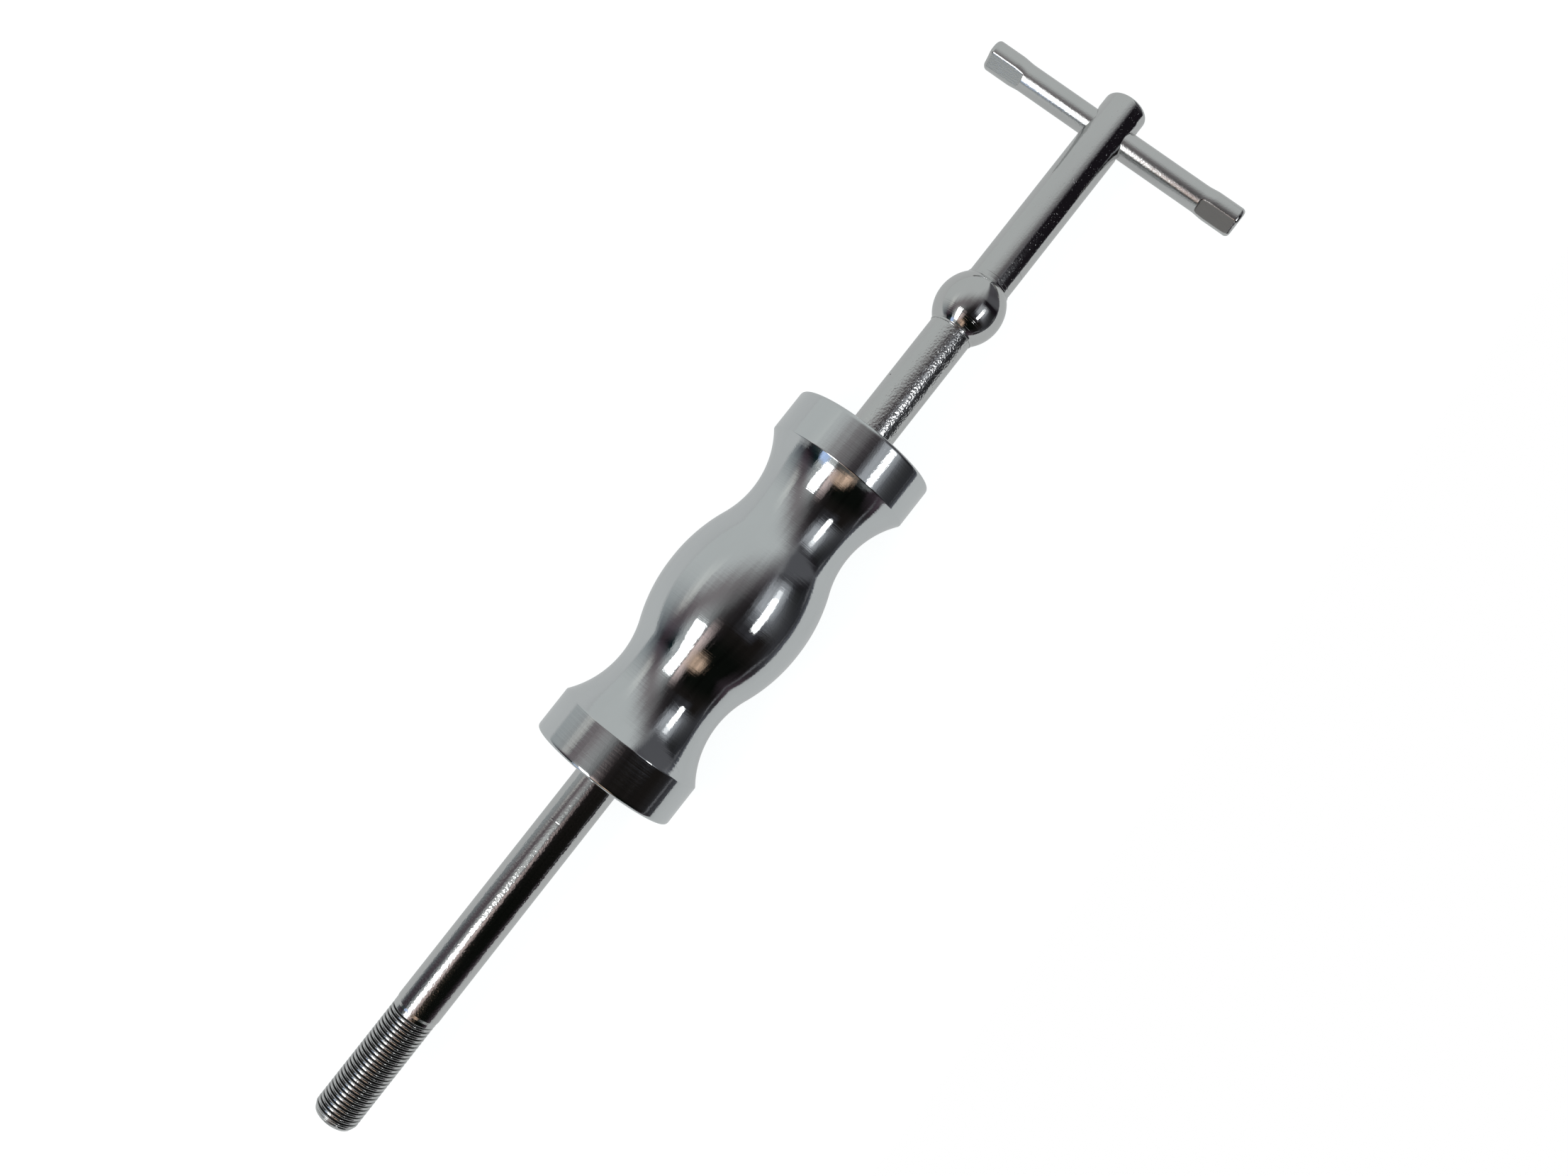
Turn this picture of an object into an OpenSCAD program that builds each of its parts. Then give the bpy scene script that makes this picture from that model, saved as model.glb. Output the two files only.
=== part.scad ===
// Slide hammer puller: a threaded shaft, a weight that slides on it, a stop ball that the weight
// strikes, and a loose tee bar through the shaft's other end.
// The shaft lies along X with its thread pointing to -X. The origin is on the shaft's axis at the foot
// of the shoulder, where the thread ends. The tee bar lies along Y, and +Z is up. All sizes are in mm.

/* [Shaft] */
// Diameter of the plain shaft
shaft_d = 16.4; // [15:0.1:20]
// Length from the foot of the shoulder to the rounded end
shaft_length = 394.8; // [380:1:460]
// Radius of the round on the plain end
shaft_end_round = 2; // [0.5:0.25:4]
// Length of the cone between the thread's collar and the plain shaft
shoulder_length = 1; // [0.4:0.1:3]

/* [Thread] */
// Outer diameter of the thread
thread_d = 16; // [12:0.1:16]
// Length from the foot of the shoulder to the tip
thread_length = 43.5; // [20:0.5:60]
// Distance from one turn to the next
thread_pitch = 1.5; // [1:0.25:2]
// Length of the plain collar between the last turn and the shoulder
thread_collar_length = 1; // [0.5:0.1:4]
// Length of the lead-in chamfer on the tip
tip_chamfer_length = 1.9; // [0.5:0.1:3]
// Depth of the lead-in chamfer, measured on the radius
tip_chamfer_depth = 0.95; // [0.5:0.05:2]

/* [Sliding weight] */
// Length of the weight from face to face
weight_length = 144.6; // [120:1:160]
// Diameter of the straight flange at each end
flange_d = 54.8; // [46:0.2:64]
// Length of each straight flange
flange_length = 15.7; // [10:0.5:20]
// Radius of the round on the outer edges
flange_edge_round = 1.4; // [0.5:0.1:3]
// Diameter at the bottom of each waist
waist_d = 40.7; // [34:0.1:44]
// Radius of the hollow curve of each waist
waist_curve = 34; // [30:0.5:38]
// Diameter of the belly between the waists
belly_d = 54.5; // [48:0.1:60]
// Length of the straight crown in the middle of the belly
belly_crown_length = 4.9; // [1:0.1:10]
// Radial gap between the weight's bore and the shaft
weight_clearance = 0.3; // [0.1:0.05:0.6]
// Size of the chamfer at each mouth of the bore
bore_chamfer = 0.8; // [0.2:0.1:2]
// Distance from the foot of the shoulder to the weight where it lies at rest
weight_rest = 98.4; // [20:1:110]

/* [Stop ball] */
// Largest diameter of the ball
ball_d = 25; // [22:0.5:32]
// Length of the straight crown in the middle of the ball
ball_crown_length = 1.6; // [0.5:0.1:4]
// Length of the ball along the shaft, with its collars
ball_length = 21.4; // [20:0.1:24]
// Diameter of the collar at each end of the ball
ball_collar_d = 17.2; // [16.8:0.1:20]
// Distance from the foot of the shoulder to the middle of the ball
ball_place = 302.5; // [285:1:340]

/* [Tee bar] */
// Diameter of the bar
bar_d = 10; // [6:0.5:11]
// Length of the bar from end to end
bar_length = 106; // [90:1:140]
// Distance from the shaft's rounded end to the middle of the cross hole
bar_inset = 12.3; // [9:0.1:30]
// How far the bar has slid towards -Y where it lies at rest
bar_shift = 2.4; // [0:0.1:10]
// Radial gap between the bar and its cross hole
bar_clearance = 0.15; // [0.05:0.05:0.4]
// Depth of the countersink at each mouth of the cross hole
countersink = 1.2; // [0.2:0.1:1.5]
// Length of the pressed stretch at each end
pressed_length = 15; // [8:0.5:20]
// Thickness left between the two pressed flats
pressed_thickness = 8.4; // [4:0.1:8.6]
// Width that the pressed stretch has spread to
pressed_width = 11; // [10.6:0.1:13]
// Length over which the bar swells to that width
pressed_swell_length = 3; // [1:0.5:5]
// Radius of the round on the bar's ends
bar_end_round = 1; // [0.3:0.1:2]
// Turn of the flats about the bar, from facing straight up towards the thread's end, in degrees
pressed_turn = 56; // [0:1:90]

/* [Hidden] */
$fn = 128;
// How far cuts run past the faces that they open
overrun = 1;
// A thread form of 60 degrees: its flats and its depth as shares of the pitch
crest_share = 1 / 8;
root_share = 1 / 4;
flank_angle = 30;
thread_depth = thread_pitch * (1 - crest_share - root_share) / 2 / tan(flank_angle);

shaft_r = shaft_d / 2;
thread_r = thread_d / 2;
flange_r = flange_d / 2;
belly_r = belly_d / 2;
waist_r = waist_d / 2;
bore_r = shaft_r + weight_clearance;
weight_half = weight_length / 2;
ball_r = ball_d / 2;
bar_r = bar_d / 2;
bar_half = bar_length / 2;
pressed_r = pressed_width / 2;
bar_x = shaft_length - bar_inset;
cross_hole_r = bar_r + bar_clearance;

// The waist's curve meets the flange at the flange's inner edge
waist_centre_r = waist_r + waist_curve;
waist_place = weight_half - flange_length - sqrt(pow(waist_curve, 2) - pow(waist_centre_r - flange_r, 2));
// The belly's curve runs smoothly out of the crown and into the waist's curve
belly_reach = waist_place - belly_crown_length / 2;
belly_drop = waist_centre_r - belly_r;
belly_curve = (pow(belly_reach, 2) + pow(belly_drop, 2) - pow(waist_curve, 2)) / (2 * (waist_curve - belly_drop));
meeting_share = belly_curve / (belly_curve + waist_curve);
meeting_place = belly_crown_length / 2 + belly_reach * meeting_share;
meeting_r = belly_r - belly_curve + (waist_centre_r - belly_r + belly_curve) * meeting_share;

// Turns an outline, drawn as radius and distance along the axis, into a solid along +X
module turned_along_x() {
  rotate([0, 90, 0]) rotate_extrude() children();
}

// What comes off a square outer corner to leave a round one. The round's centre is at the origin.
module round_cut(radius) {
  difference() {
    square(radius + overrun);
    circle(radius);
  }
}

// One groove of the thread, with its middle at the origin's height and its mouth on the outer diameter
module thread_groove() {
  mouth_r = thread_r + overrun;
  root_r = thread_r - thread_depth;
  root_half = thread_pitch * root_share / 2;
  mouth_half = root_half + (mouth_r - root_r) * tan(flank_angle);
  polygon([[root_r, -root_half], [mouth_r, -mouth_half], [mouth_r, mouth_half], [root_r, root_half]]);
}

module shaft_outline() {
  groove_count = ceil((thread_length - thread_collar_length) / thread_pitch);
  difference() {
    polygon([
      [0, -thread_length],
      [thread_r - tip_chamfer_depth, -thread_length],
      [thread_r, tip_chamfer_length - thread_length],
      [thread_r, 0],
      [shaft_r, shoulder_length],
      [shaft_r, shaft_length],
      [0, shaft_length]
    ]);
    for (turn = [0 : groove_count - 1])
      translate([0, -thread_collar_length - thread_pitch * (turn + 1 / 2)]) thread_groove();
    translate([shaft_r - shaft_end_round, shaft_length - shaft_end_round]) round_cut(shaft_end_round);
  }
}

module shaft() {
  color("silver")
    difference() {
      turned_along_x() shaft_outline();
      translate([bar_x, 0, 0])
        for (side = [-1, 1])
          rotate([side * 90, 0, 0]) {
            cylinder(r = cross_hole_r, h = shaft_r + overrun);
            translate([0, 0, shaft_r - countersink])
              cylinder(r1 = cross_hole_r, r2 = cross_hole_r + countersink + overrun, h = countersink + overrun);
          }
    }
}

// The belly's curve, drawn past where it meets the waists
module belly_outline() {
  translate([0, -belly_crown_length / 2]) square([belly_r, belly_crown_length]);
  for (side = [-1, 1])
    translate([belly_r - belly_curve, side * belly_crown_length / 2]) circle(belly_curve);
}

module weight_outline() {
  difference() {
    translate([bore_r, -weight_half]) square([flange_r - bore_r, weight_length]);
    for (side = [-1, 1]) {
      translate([waist_centre_r, side * waist_place]) circle(waist_curve);
      translate([bore_r, side * weight_half]) rotate(45) square(bore_chamfer * sqrt(2), center = true);
    }
    difference() {
      translate([meeting_r, -meeting_place]) square([flange_r + overrun - meeting_r, 2 * meeting_place]);
      belly_outline();
    }
    translate([flange_r - flange_edge_round, weight_half - flange_edge_round]) round_cut(flange_edge_round);
    mirror([0, 1]) translate([flange_r - flange_edge_round, weight_half - flange_edge_round]) round_cut(flange_edge_round);
  }
}

module sliding_weight() {
  color("gainsboro")
    translate([weight_rest + weight_half, 0, 0]) turned_along_x() weight_outline();
}

module ball_outline() {
  difference() {
    union() {
      intersection() {
        union() {
          for (side = [-1, 1])
            translate([0, side * ball_crown_length / 2]) circle(ball_r);
          translate([0, -ball_crown_length / 2]) square([ball_r, ball_crown_length]);
        }
        translate([0, -ball_length / 2]) square([ball_r, ball_length]);
      }
      translate([0, -ball_length / 2]) square([ball_collar_d / 2, ball_length]);
    }
    translate([-overrun, -ball_length]) square([shaft_r + overrun, 2 * ball_length]);
  }
}

module stop_ball() {
  color("lightgray")
    translate([ball_place, 0, 0]) turned_along_x() ball_outline();
}

module bar_outline() {
  swell_end = bar_half - pressed_length + pressed_swell_length;
  half_outline = [
    [bar_r, swell_end - pressed_swell_length],
    [pressed_r, swell_end],
    [pressed_r, bar_half],
    [0, bar_half]
  ];
  difference() {
    polygon([
      for (corner = half_outline) corner,
      for (i = [len(half_outline) - 1 : -1 : 0]) [half_outline[i].x, -half_outline[i].y]
    ]);
    for (side = [0, 1])
      mirror([0, side]) translate([pressed_r - bar_end_round, bar_half - bar_end_round]) round_cut(bar_end_round);
  }
}

module tee_bar() {
  color("darkgray")
    translate([bar_x, -bar_shift, 0])
      rotate([-90, 0, 0]) rotate([0, 0, 90 - pressed_turn])
        difference() {
          rotate_extrude() bar_outline();
          for (end = [-1, 1], face = [-1, 1])
            translate([
              face * (pressed_thickness / 2 + pressed_width),
              0,
              end * (bar_half - pressed_length / 2 + overrun / 2)
            ])
              cube([2 * pressed_width, 2 * pressed_width, pressed_length + overrun], center = true);
        }
}

shaft();
sliding_weight();
stop_ball();
tee_bar();
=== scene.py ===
"""A slide hammer puller on a pale table, seen from above, as in the photograph.

The shaft lies along X with its thread towards -X, the tee bar lies along Y, and +Z is up.
Named sizes ending in _MM are millimetres, and everything that is built is in metres.
"""

import math

import bmesh
import bpy
import numpy as np
from mathutils import Matrix, Vector


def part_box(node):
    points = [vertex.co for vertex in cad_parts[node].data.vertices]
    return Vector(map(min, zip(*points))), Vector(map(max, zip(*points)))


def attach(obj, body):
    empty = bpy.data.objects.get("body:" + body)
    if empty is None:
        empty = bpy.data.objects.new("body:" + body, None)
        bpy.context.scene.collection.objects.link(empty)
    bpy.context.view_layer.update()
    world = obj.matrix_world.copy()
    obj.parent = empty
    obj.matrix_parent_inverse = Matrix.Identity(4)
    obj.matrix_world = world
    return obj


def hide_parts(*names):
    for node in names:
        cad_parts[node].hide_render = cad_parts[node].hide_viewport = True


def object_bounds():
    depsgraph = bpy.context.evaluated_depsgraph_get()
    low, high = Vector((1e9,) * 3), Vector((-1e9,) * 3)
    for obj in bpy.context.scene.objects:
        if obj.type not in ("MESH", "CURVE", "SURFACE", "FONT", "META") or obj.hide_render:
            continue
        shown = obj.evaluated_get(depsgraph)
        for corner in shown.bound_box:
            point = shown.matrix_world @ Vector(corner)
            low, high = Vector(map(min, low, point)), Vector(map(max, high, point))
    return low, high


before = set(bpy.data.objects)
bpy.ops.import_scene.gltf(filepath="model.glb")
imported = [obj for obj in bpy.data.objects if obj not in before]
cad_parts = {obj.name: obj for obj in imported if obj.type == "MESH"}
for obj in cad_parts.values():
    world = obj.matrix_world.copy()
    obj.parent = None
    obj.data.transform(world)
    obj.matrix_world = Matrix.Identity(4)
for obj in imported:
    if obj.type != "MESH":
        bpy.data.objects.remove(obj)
cad_low, cad_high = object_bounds()

MM = 0.001

# The photograph
PHOTO_WIDTH = 2212
FOCAL_LENGTH_PX = 1750
SENSOR_WIDTH = 36
# The camera's place, measured from the thread's tip and from the shaft's axis, before the tool is turned
# about its shaft so that the tee bar lies level
CAMERA_ALONG_MM = 202.19
CAMERA_ASIDE_MM = 9.3
CAMERA_HEIGHT_MM = 423.7
CAMERA_TILT = math.radians(3.69)
SHAFT_ANGLE_IN_PHOTO = math.radians(51.866)
TEE_BAR_TURN = math.radians(6.4)

# Shaft
SHAFT_RADIUS_MM = 8.2
SHAFT_END_ROUND_MM = 2.0
SHOULDER_MM = 1.0
COLLAR_EDGE_ROUND_MM = 0.15
SHOULDER_EDGE_ROUND_MM = 0.3
SHAFT_SEGMENTS = 192

# Thread
THREAD_RADIUS_MM = 8.0
THREAD_PITCH_MM = 1.5
THREAD_DEPTH_MM = 0.812
THREAD_COLLAR_MM = 1.1
THREAD_RUN_OUT_MM = 1.0
TIP_CHAMFER_LENGTH_MM = 1.9
TIP_CHAMFER_DEPTH_MM = 0.95
TIP_RADIUS_MM = THREAD_RADIUS_MM - TIP_CHAMFER_DEPTH_MM
# Where the groove's bottom ends and the crest starts, as shares of the pitch from the groove's middle
BOTTOM_END = 0.06
CREST_START = 0.29
# How far the bottom rises towards the flank, and the crest falls, as shares of the thread's depth
BOTTOM_RISE = 0.04
CREST_FALL = 0.05
# The rows of vertices from a groove's middle to the middle of the crest, as shares of the pitch
THREAD_ROWS = (0, 0.03, 0.06, 0.14, 0.22, 0.29, 0.34, 0.40, 0.45)

# Sliding weight
FLANGE_RADIUS_MM = 27.4
FLANGE_LENGTH_MM = 15.7
FLANGE_OUTER_ROUND_MM = 1.4
FLANGE_INNER_ROUND_MM = 0.7
WAIST_RADIUS_MM = 20.35
WAIST_CURVE_MM = 34.0
BELLY_RADIUS_MM = 27.25
BELLY_CROWN_MM = 1.0
WEIGHT_BORE_RADIUS_MM = 8.5
BORE_CHAMFER_MM = 0.8
BORE_EDGE_ROUND_MM = 0.2
WEIGHT_SEGMENTS = 288

# Stop ball
BALL_RADIUS_MM = 12.5
BALL_CURVE_MM = 14.6
BALL_COLLAR_RADIUS_MM = 8.55
BALL_COLLAR_ROUND_MM = 0.2
BALL_COLLAR_FILLET_MM = 0.3
BALL_SEGMENTS = 192

# Cross hole
CROSS_HOLE_RADIUS_MM = 5.15
COUNTERSINK_MM = 1.2
HOLE_EDGE_ROUND_MM = 0.12
# The opening in the shaft's rows that each mouth of the hole is fitted in: half its length, the number of
# rows along it, and half its width in steps round the shaft
OPENING_HALF_MM = 7.6
OPENING_ROWS = 25
OPENING_STEPS = 28

# Tee bar
BAR_RADIUS_MM = 5.0
BAR_END_ROUND_MM = 1.6
BAR_SEGMENTS = 128
PRESSED_LENGTH_MM = 15.0
PRESSED_THICKNESS_MM = 8.4
PRESSED_TURN = math.radians(56)
# How far the pressed ends' sides swell, and where that starts and ends, measured from the flat's start
SWELL_MM = 0.5
SWELL_START_MM = -1.0
SWELL_END_MM = 4.5
# The step down to a flat: where it starts and ends, measured from the flat's start
STEP_START_MM = -0.1
STEP_END_MM = 0.5
# The dies' edges are straight up to this distance from the flat's middle, and past it they fall back with
# the square of the distance
DIE_STRAIGHT_MM = 1.6
DIE_CORNER = 0.35

# Vertices closer than this are merged
MERGE_DISTANCE_MM = 0.0005
# A round takes up at most this share of the side next to it
MOST_OF_SIDE = 0.9

# Where the frame puts the pieces, in metres
shaft_low, shaft_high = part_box("shaft")
weight_low, weight_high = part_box("sliding_weight")
ball_low, ball_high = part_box("stop_ball")
bar_low, bar_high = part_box("tee_bar")
bar_x = (bar_low.x + bar_high.x) / 2


def linked_object(name, data):
    """A new object in the scene."""
    thing = bpy.data.objects.new(name, data)
    bpy.context.scene.collection.objects.link(thing)
    return thing


def clean_mesh(mesh, distance):
    """Merges vertices that meet, drops faces without area, and turns all faces outwards."""
    work = bmesh.new()
    work.from_mesh(mesh)
    bmesh.ops.remove_doubles(work, verts=work.verts, dist=distance)
    bmesh.ops.dissolve_degenerate(work, edges=work.edges, dist=distance)
    bmesh.ops.recalc_face_normals(work, faces=work.faces)
    work.to_mesh(mesh)
    work.free()


class Mesh:
    """Vertices and faces that are gathered before they become one piece."""

    def __init__(self):
        self.points = []
        self.faces = []

    def add(self, point):
        self.points.append(tuple(point))
        return len(self.points) - 1

    def row(self, points):
        return [self.add(point) for point in points]

    def strip(self, first, second, closed=True):
        """Quads between two rows of as many vertices, which run round +X anticlockwise, first at lower x."""
        count = len(first)
        for i in range(count if closed else count - 1):
            j = (i + 1) % count
            self.faces.append((first[i], first[j], second[j], second[i]))

    def strips(self, rows, closed=True):
        """Quads between each row and the next."""
        for first, second in zip(rows, rows[1:]):
            self.strip(first, second, closed)

    def fan(self, row, centre, reverse=False):
        """Triangles between a row and one vertex in its middle."""
        for i, vertex in enumerate(row):
            after = row[(i + 1) % len(row)]
            self.faces.append((vertex, after, centre) if reverse else (after, vertex, centre))

    def piece(self, name, body, node, slot, material):
        """Makes the finished piece, riding on its body in place of its node."""
        mesh = bpy.data.meshes.new(name)
        mesh.from_pydata(self.points, [], self.faces)
        mesh.validate()
        mesh.materials.append(material)
        piece = linked_object(name, mesh)
        clean_mesh(mesh, MERGE_DISTANCE_MM * MM)
        mesh.polygons.foreach_set("use_smooth", [True] * len(mesh.polygons))
        mesh.update()
        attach(piece, body)
        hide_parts(node)


def arc(centre_x, centre_r, radius, start, end, steps):
    """Points (x, r) on an arc. Angles are in radians, 0 points to +x and a quarter turn to +r."""
    angles = np.linspace(start, end, steps + 1)
    return [(centre_x + radius * math.cos(a), centre_r + radius * math.sin(a)) for a in angles]


def rounded(outline, corners, steps):
    """The outline with each of its corners {index: radius} replaced by a round."""
    result = []
    for index, point in enumerate(outline):
        if index not in corners:
            result.append(tuple(point))
            continue
        here = np.array(point)
        before = np.array(outline[index - 1]) - here
        after = np.array(outline[(index + 1) % len(outline)]) - here
        before_length = np.linalg.norm(before)
        after_length = np.linalg.norm(after)
        cosine = float(before @ after) / before_length / after_length
        half_turn = (math.pi - math.acos(max(-1.0, min(1.0, cosine)))) / 2
        reach = corners[index] * math.tan(half_turn)
        start = here + before / before_length * min(reach, before_length * MOST_OF_SIDE)
        end = here + after / after_length * min(reach, after_length * MOST_OF_SIDE)
        for share in np.linspace(0, 1, steps + 1):
            blend = (1 - share) ** 2 * start + 2 * share * (1 - share) * here + share**2 * end
            result.append(tuple(blend))
    return result


def refined(outline, longest, closed=False):
    """The outline with its long stretches divided, and a point close to each of their ends."""
    result = []
    count = len(outline)
    for index in range(count if closed else count - 1):
        start = np.array(outline[index])
        end = np.array(outline[(index + 1) % count])
        length = np.linalg.norm(end - start)
        result.append(tuple(start))
        if length > longest:
            edge = min(0.08, 0.2 * longest / length)
            inner = np.linspace(edge, 1 - edge, max(2, int(length / longest) + 1))
            result.extend(tuple(start + (end - start) * share) for share in inner)
    if not closed:
        result.append(tuple(outline[-1]))
    return result


def point_round(x, r, angle):
    """A point in metres, from its x and radius in millimetres and its angle from +Y towards +Z."""
    return (x * MM, r * MM * math.cos(angle), r * MM * math.sin(angle))


def ring(x, r, segments):
    """Points round the shaft's axis, from +Y towards +Z."""
    return [point_round(x, r, angle) for angle in np.arange(segments) * 2 * math.pi / segments]


def turned(mesh, outline, segments, closed=False):
    """Turns an outline of (x, r) points in millimetres about the shaft's axis."""
    rows = [mesh.row(ring(x, r, segments)) for x, r in outline]
    mesh.strips(rows)
    if closed:
        mesh.strip(rows[-1], rows[0])
    return rows


def weight_half_outline():
    """Points (x, r) of the weight's outside from its middle to its face, and the corners to be rounded."""
    half = (weight_high.x - weight_low.x) / MM / 2
    centre_r = WAIST_RADIUS_MM + WAIST_CURVE_MM
    drop = centre_r - FLANGE_RADIUS_MM
    waist_x = half - FLANGE_LENGTH_MM - math.sqrt(WAIST_CURVE_MM**2 - drop**2)
    reach = waist_x - BELLY_CROWN_MM / 2
    belly_drop = centre_r - BELLY_RADIUS_MM
    belly_curve = (reach**2 + belly_drop**2 - WAIST_CURVE_MM**2) / (2 * (WAIST_CURVE_MM - belly_drop))
    meeting_angle = math.atan2(centre_r - BELLY_RADIUS_MM + belly_curve, reach)
    flange_angle = math.atan2(FLANGE_RADIUS_MM - centre_r, half - FLANGE_LENGTH_MM - waist_x)
    belly_centre_r = BELLY_RADIUS_MM - belly_curve
    belly = arc(BELLY_CROWN_MM / 2, belly_centre_r, belly_curve, math.pi / 2, meeting_angle, steps=40)
    waist = arc(waist_x, centre_r, WAIST_CURVE_MM, meeting_angle - math.pi, flange_angle, steps=60)
    outside = belly + waist[1:]
    inner_edge = len(outside) - 1
    outer_edge = len(outside)
    outside += [
        (half, FLANGE_RADIUS_MM),
        (half, WEIGHT_BORE_RADIUS_MM + BORE_CHAMFER_MM),
        (half - BORE_CHAMFER_MM, WEIGHT_BORE_RADIUS_MM),
    ]
    corners = {
        inner_edge: FLANGE_INNER_ROUND_MM,
        outer_edge: FLANGE_OUTER_ROUND_MM,
        outer_edge + 1: BORE_EDGE_ROUND_MM,
        outer_edge + 2: BORE_EDGE_ROUND_MM,
    }
    return outside, corners


def make_weight(material):
    half = rounded(*weight_half_outline(), steps=8)
    middle = (weight_low.x + weight_high.x) / 2 / MM
    whole = [(middle - x, r) for x, r in reversed(half)] + [(middle + x, r) for x, r in half]
    mesh = Mesh()
    turned(mesh, refined(whole, longest=1.5, closed=True), WEIGHT_SEGMENTS, closed=True)
    mesh.piece("hammer_weight", "sliding_weight", "sliding_weight", "weight_chrome", material)


def make_ball(material):
    half = (ball_high.x - ball_low.x) / MM / 2
    middle = (ball_low.x + ball_high.x) / 2 / MM
    centre_r = BALL_RADIUS_MM - BALL_CURVE_MM
    collar_angle = math.asin((BALL_COLLAR_RADIUS_MM - centre_r) / BALL_CURVE_MM)
    curve = arc(middle, centre_r, BALL_CURVE_MM, math.pi - collar_angle, collar_angle, steps=72)
    outline = [
        (middle - half, SHAFT_RADIUS_MM),
        (middle - half, BALL_COLLAR_RADIUS_MM),
        *curve,
        (middle + half, BALL_COLLAR_RADIUS_MM),
        (middle + half, SHAFT_RADIUS_MM),
    ]
    corners = {
        1: BALL_COLLAR_ROUND_MM,
        2: BALL_COLLAR_FILLET_MM,
        len(outline) - 3: BALL_COLLAR_FILLET_MM,
        len(outline) - 2: BALL_COLLAR_ROUND_MM,
    }
    mesh = Mesh()
    outline = refined(rounded(outline, corners, steps=4), longest=2.0, closed=True)
    turned(mesh, outline, BALL_SEGMENTS, closed=True)
    mesh.piece("anvil_ball", "shaft", "stop_ball", "ball_chrome", material)


def thread_form(share):
    """Depth of the thread as a share of its full depth, at a share of the pitch from a groove's middle."""
    away = abs((share + 0.5) % 1.0 - 0.5)
    if away <= BOTTOM_END:
        return 1.0 - BOTTOM_RISE * (away / BOTTOM_END) ** 2
    if away >= CREST_START:
        return CREST_FALL * ((0.5 - away) / (0.5 - CREST_START)) ** 2
    flank_depth = 1.0 - BOTTOM_RISE - CREST_FALL
    return CREST_FALL + flank_depth * (CREST_START - away) / (CREST_START - BOTTOM_END)


def add_thread(mesh, tip, end):
    """The right-hand thread and its chamfered tip, up to where it meets the collar. Each row of vertices is
    one turn of the helix, and what would lie past either end is drawn back to it."""
    shares = [*THREAD_ROWS, 0.5, *(1 - share for share in reversed(THREAD_ROWS[1:]))]
    turns = int(math.ceil((end - tip) / THREAD_PITCH_MM)) + 2
    angles = np.arange(SHAFT_SEGMENTS + 1) * 2 * math.pi / SHAFT_SEGMENTS
    first = tip - 1.5 * THREAD_PITCH_MM
    rows = []
    for turn in range(turns):
        for share in shares:
            points = []
            for angle in angles:
                x = first + THREAD_PITCH_MM * (turn + share + angle / (2 * math.pi))
                fade = max(0.0, min(1.0, (end - x) / THREAD_RUN_OUT_MM))
                depth = THREAD_DEPTH_MM * thread_form(share) * fade
                x = max(tip, min(end, x))
                chamfer = THREAD_RADIUS_MM - TIP_CHAMFER_DEPTH_MM * (1 - (x - tip) / TIP_CHAMFER_LENGTH_MM)
                r = min(THREAD_RADIUS_MM - depth, chamfer)
                if x <= tip:
                    r = TIP_RADIUS_MM
                points.append(point_round(x, r, angle))
            rows.append(mesh.row(points))
    mesh.strips(rows, closed=False)


def shaft_height(aside):
    """How high the shaft's outside lies above its axis, at a distance aside from it."""
    return math.sqrt(SHAFT_RADIUS_MM**2 - aside**2)


def hole_edges(angles):
    """For each angle round the cross hole: the radius and the height of its countersink's outer edge, and the
    height of its wall's top. Heights are measured from the shaft's axis."""
    edges = []
    sink_bottom = SHAFT_RADIUS_MM - COUNTERSINK_MM
    for angle in angles:
        sine = math.sin(angle)
        outer = CROSS_HOLE_RADIUS_MM + HOLE_EDGE_ROUND_MM
        # The edge's radius follows from its height and the other way round, so they are closed in on
        for _ in range(30):
            wanted = CROSS_HOLE_RADIUS_MM + max(HOLE_EDGE_ROUND_MM, shaft_height(outer * sine) - sink_bottom)
            outer += 0.5 * (wanted - outer)
        wall_top = min(sink_bottom, shaft_height(CROSS_HOLE_RADIUS_MM * sine) - HOLE_EDGE_ROUND_MM)
        edges.append((outer, shaft_height(outer * sine), wall_top))
    return edges


def opening_border(rows, places, centre):
    """The vertices round the opening that the rows leave, as (vertex, x, steps round from the centre)."""
    across = range(-OPENING_STEPS, OPENING_STEPS + 1)
    inner = range(1, len(rows) - 1)
    spots = [(0, step) for step in across]
    spots += [(index, OPENING_STEPS) for index in inner]
    spots += [(len(rows) - 1, step) for step in reversed(across)]
    spots += [(index, -OPENING_STEPS) for index in reversed(inner)]
    return [(rows[index][(centre + step) % SHAFT_SEGMENTS], places[index], step) for index, step in spots]


def point_on_shaft(x, way_round, outward):
    """A point on the shaft's outside in metres, from its x and its way round from the cross hole's middle in
    millimetres. outward is 1 on the side of +Y and -1 on the side of -Y."""
    angle = way_round / SHAFT_RADIUS_MM
    y = outward * SHAFT_RADIUS_MM * math.cos(angle)
    z = outward * SHAFT_RADIUS_MM * math.sin(angle)
    return (x * MM, y * MM, z * MM)


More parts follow.
